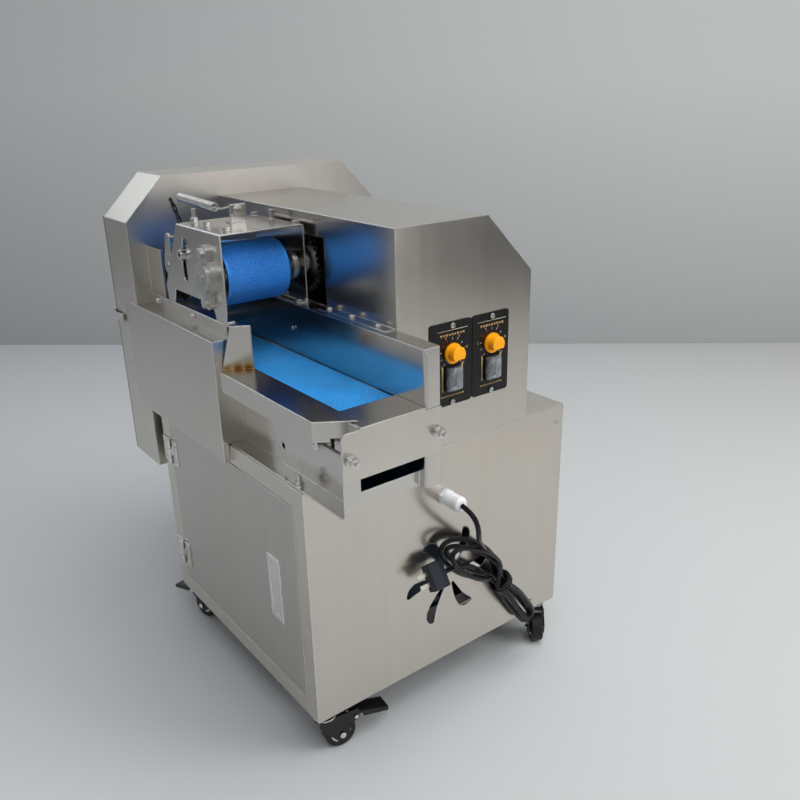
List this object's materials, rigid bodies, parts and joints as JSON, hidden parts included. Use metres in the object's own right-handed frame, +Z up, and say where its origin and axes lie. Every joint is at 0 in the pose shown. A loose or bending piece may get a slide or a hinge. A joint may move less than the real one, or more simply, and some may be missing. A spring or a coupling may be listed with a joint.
{
  "type": "vegetable cutting machine",
  "caption": "Stainless conveyor-fed vegetable cutter on casters: trough with feed belt, sprung press roller, enclosed blade head, control housing and motor cabinet.",
  "frame": {"origin": "centre of the footprint on the floor", "axes": "+Z up, +Y the way the belt carries the vegetables towards the blades, +X towards the control housing"},
  "size_m": [0.5146, 0.756, 0.816],
  "materials": {
    "stainless": "brushed sheet",
    "bright_steel": "turned and polished",
    "bearing_grey": "cast housing",
    "chain_steel": "oiled black steel",
    "belt_feed": "woven conveyor belt",
    "belt_blue": "woven conveyor belt",
    "rubber_black": "smooth",
    "motor_paint": "painted castings",
    "pulley_iron": "machined",
    "panel_black": "printed gloss plate",
    "knob_orange": "glossy",
    "switch_black": "glossy",
    "caster_black": "moulded",
    "wheel_rubber": "smooth tread",
    "nylon_white": "moulded"
  },
  "bodies": {
    "machine": {"cabinet_shell": "stainless", "trough_frame": "stainless", "end_plate": "stainless", "side_shelf": "stainless", "side_guard": "stainless", "control_housing": "stainless", "head_shell": "stainless", "gantry": "stainless", "hinge_fixed": "bright_steel", "tail_axle": "bright_steel", "cover_hinges": "bright_steel", "spring": "bright_steel", "press_bearings": "bearing_grey", "blade_bearings": "bearing_grey", "feed_chain": "chain_steel", "press_chain": "chain_steel", "feed_belt": "belt_feed", "seal": "rubber_black", "v_belt": "rubber_black", "cord": "rubber_black", "cord_hank": "rubber_black", "gear_motor": "motor_paint", "main_motor": "motor_paint", "control_panels": "panel_black", "rocker_frames": "switch_black", "plug": "switch_black", "caster_plates": "caster_black", "cable_gland": "nylon_white"},
    "door": {"door": "stainless", "hinge_moving": "bright_steel", "latch_body": "bright_steel"},
    "latch_paddle": {"latch_paddle": "bright_steel"},
    "tail_roller": {"tail_roller": "bright_steel"},
    "drive_roller": {"drive_roller": "bright_steel"},
    "feed_pinion": {"feed_pinion": "bright_steel"},
    "counter_gear": {"counter_gear": "bright_steel"},
    "press_drum": {"press_drum": "bright_steel"},
    "knob_left": {"knob_left": "knob_orange"},
    "knob_right": {"knob_right": "knob_orange"},
    "rocker_left": {"rocker_left": "switch_black"},
    "rocker_right": {"rocker_right": "switch_black"},
    "head_cover": {"head_cover": "stainless"},
    "cover_clasp": {"cover_clasp": "bright_steel"},
    "motor_pulley": {"motor_pulley": "pulley_iron"},
    "press_rear_roller": {"press_rear_roller": "bright_steel"},
    "blades": {"blade_rotor": "bright_steel", "blade_shaft": "bright_steel"},
    "press_arm": {"press_arm": "bright_steel", "press_belt": "belt_blue", "tension_chain": "chain_steel"},
    "fork_near_left": {"fork_near_left": "caster_black"},
    "wheel_near_left": {"wheel_near_left": "wheel_rubber"},
    "fork_near_right": {"fork_near_right": "caster_black"},
    "wheel_near_right": {"wheel_near_right": "wheel_rubber"},
    "fork_far_left": {"fork_far_left": "caster_black"},
    "wheel_far_left": {"wheel_far_left": "wheel_rubber"},
    "fork_far_right": {"fork_far_right": "caster_black"},
    "wheel_far_right": {"wheel_far_right": "wheel_rubber"},
    "pedal_near_left": {"pedal_near_left": "caster_black"},
    "pedal_far_left": {"pedal_far_left": "caster_black"}
  },
  "joints": [
    {"name": "door_hinge", "type": "hinge", "parent": "machine", "child": "door", "pos_m": [-0.2472, 0.17775, 0.2625], "axis": [0, 0, -1], "range_deg": [0, 110]},
    {"name": "paddle_pivot", "type": "hinge", "parent": "door", "child": "latch_paddle", "pos_m": [-0.2397, -0.171, 0.297], "axis": [0, 1, 0], "range_deg": [0, 30]},
    {"name": "cover_hinge", "type": "hinge", "parent": "machine", "child": "head_cover", "pos_m": [0.2443, 0.34, 0.56], "axis": [0, 0, -1], "range_deg": [0, 110]},
    {"name": "clasp_pivot", "type": "hinge", "parent": "head_cover", "child": "cover_clasp", "pos_m": [-0.2517, 0.342, 0.575], "axis": [0, 0, -1], "range_deg": [0, 100]},
    {"name": "knob_left_turn", "type": "hinge", "parent": "machine", "child": "knob_left", "pos_m": [0.0143, -0.268, 0.59], "axis": [0, 1, 0], "range_deg": [0, 270]},
    {"name": "rocker_left_tilt", "type": "hinge", "parent": "machine", "child": "rocker_left", "pos_m": [0.0143, -0.2665, 0.553], "axis": [-1, 0, 0], "range_deg": [0, 12]},
    {"name": "knob_right_turn", "type": "hinge", "parent": "machine", "child": "knob_right", "pos_m": [0.0903, -0.268, 0.59], "axis": [0, 1, 0], "range_deg": [0, 270]},
    {"name": "rocker_right_tilt", "type": "hinge", "parent": "machine", "child": "rocker_right", "pos_m": [0.0903, -0.2665, 0.553], "axis": [-1, 0, 0], "range_deg": [0, 12]},
    {"name": "drive_spin", "type": "hinge", "parent": "machine", "child": "drive_roller", "pos_m": [-0.1527, 0.176, 0.528], "axis": [1, 0, 0], "continuous": true},
    {"name": "tail_spin", "type": "hinge", "parent": "machine", "child": "tail_roller", "pos_m": [-0.1597, -0.294, 0.528], "axis": [1, 0, 0], "continuous": true},
    {"name": "pinion_spin", "type": "hinge", "parent": "machine", "child": "feed_pinion", "pos_m": [-0.0967, 0.157, 0.337], "axis": [1, 0, 0], "continuous": true},
    {"name": "counter_spin", "type": "hinge", "parent": "machine", "child": "counter_gear", "pos_m": [-0.0727, 0.044, 0.631], "axis": [1, 0, 0], "continuous": true},
    {"name": "drum_spin", "type": "hinge", "parent": "machine", "child": "press_drum", "pos_m": [-0.1667, -0.016, 0.694], "axis": [1, 0, 0], "continuous": true},
    {"name": "arm_swing", "type": "hinge", "parent": "machine", "child": "press_arm", "pos_m": [-0.1667, -0.016, 0.694], "axis": [1, 0, 0], "range_deg": [-8, 12]},
    {"name": "rear_spin", "type": "hinge", "parent": "press_arm", "child": "press_rear_roller", "pos_m": [-0.1667, 0.142, 0.687], "axis": [1, 0, 0], "continuous": true},
    {"name": "blade_spin", "type": "hinge", "parent": "machine", "child": "blades", "pos_m": [0.0023, 0.132, 0.585], "axis": [0, 1, 0], "continuous": true},
    {"name": "motor_spin", "type": "hinge", "parent": "machine", "child": "motor_pulley", "pos_m": [0.0023, 0.044, 0.24], "axis": [0, 1, 0], "continuous": true},
    {"name": "swivel_near_left", "type": "hinge", "parent": "machine", "child": "fork_near_left", "pos_m": [-0.2187, -0.244, 0.065], "axis": [0, 0, 1], "continuous": true},
    {"name": "roll_near_left", "type": "hinge", "parent": "fork_near_left", "child": "wheel_near_left", "pos_m": [-0.19691, -0.24706, 0.025], "axis": [0.1392, 0.9903, 0], "continuous": true},
    {"name": "brake_near_left", "type": "hinge", "parent": "fork_near_left", "child": "pedal_near_left", "pos_m": [-0.17315, -0.2504, 0.049], "axis": [-0.1392, -0.9903, 0], "range_deg": [0, 15]},
    {"name": "swivel_near_right", "type": "hinge", "parent": "machine", "child": "fork_near_right", "pos_m": [0.2333, -0.242, 0.065], "axis": [0, 0, 1], "continuous": true},
    {"name": "roll_near_right", "type": "hinge", "parent": "fork_near_right", "child": "wheel_near_right", "pos_m": [0.221, -0.26024, 0.025], "axis": [0.829, -0.5592, 0], "continuous": true},
    {"name": "swivel_far_left", "type": "hinge", "parent": "machine", "child": "fork_far_left", "pos_m": [-0.2027, 0.168, 0.065], "axis": [0, 0, 1], "continuous": true},
    {"name": "roll_far_left", "type": "hinge", "parent": "fork_far_left", "child": "wheel_far_left", "pos_m": [-0.20802, 0.18935, 0.025], "axis": [-0.9703, -0.2419, 0], "continuous": true},
    {"name": "brake_far_left", "type": "hinge", "parent": "fork_far_left", "child": "pedal_far_left", "pos_m": [-0.21383, 0.21263, 0.049], "axis": [0.9703, 0.2419, 0], "range_deg": [0, 15]},
    {"name": "swivel_far_right", "type": "hinge", "parent": "machine", "child": "fork_far_right", "pos_m": [0.2153, 0.172, 0.065], "axis": [0, 0, 1], "continuous": true},
    {"name": "roll_far_right", "type": "hinge", "parent": "fork_far_right", "child": "wheel_far_right", "pos_m": [0.19625, 0.183, 0.025], "axis": [-0.5, -0.866, 0], "continuous": true}
  ],
  "couplings": [
    {"joint": "tail_spin", "follows": "drive_spin", "ratio": 1},
    {"joint": "pinion_spin", "follows": "drive_spin", "ratio": 1.3333},
    {"joint": "counter_spin", "follows": "drive_spin", "ratio": 0.81818},
    {"joint": "drum_spin", "follows": "drive_spin", "ratio": -0.81818},
    {"joint": "rear_spin", "follows": "drive_spin", "ratio": -1.3531},
    {"joint": "motor_spin", "follows": "blade_spin", "ratio": 1.3793}
  ]
}
